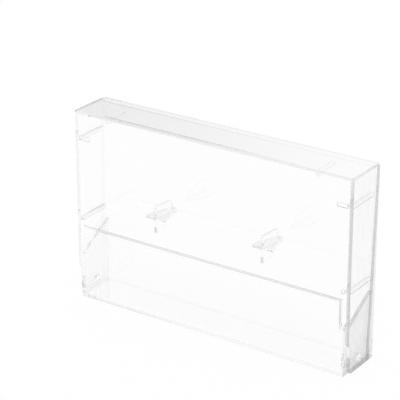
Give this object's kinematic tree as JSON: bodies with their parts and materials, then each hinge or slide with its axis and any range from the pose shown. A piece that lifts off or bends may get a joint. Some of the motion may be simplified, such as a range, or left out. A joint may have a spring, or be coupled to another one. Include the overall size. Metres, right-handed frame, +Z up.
{
  "type": "cassette tape case",
  "caption": "Clear hinged case for an audio cassette: a cover with a spine pocket, and a tray with hub locks that turns open on pins.",
  "frame": {"origin": "on the surface that the case stands on, under the middle of the closed case", "axes": "+X along the case's length, +Y from the back face with the flap to the front panel, +Z up from the spine to the top wall"},
  "size_m": [0.109, 0.017, 0.0695],
  "materials": {
    "clear_polystyrene": "crystal-clear moulded polystyrene, polished, colourless"
  },
  "bodies": {
    "cover": {"cover": "clear_polystyrene"},
    "tray": {"tray": "clear_polystyrene"}
  },
  "joints": [
    {"name": "case_hinge", "type": "hinge", "parent": "cover", "child": "tray", "pos_m": [0, 0, 0.004], "axis": [1, 0, 0], "range_deg": [0, 180]}
  ]
}
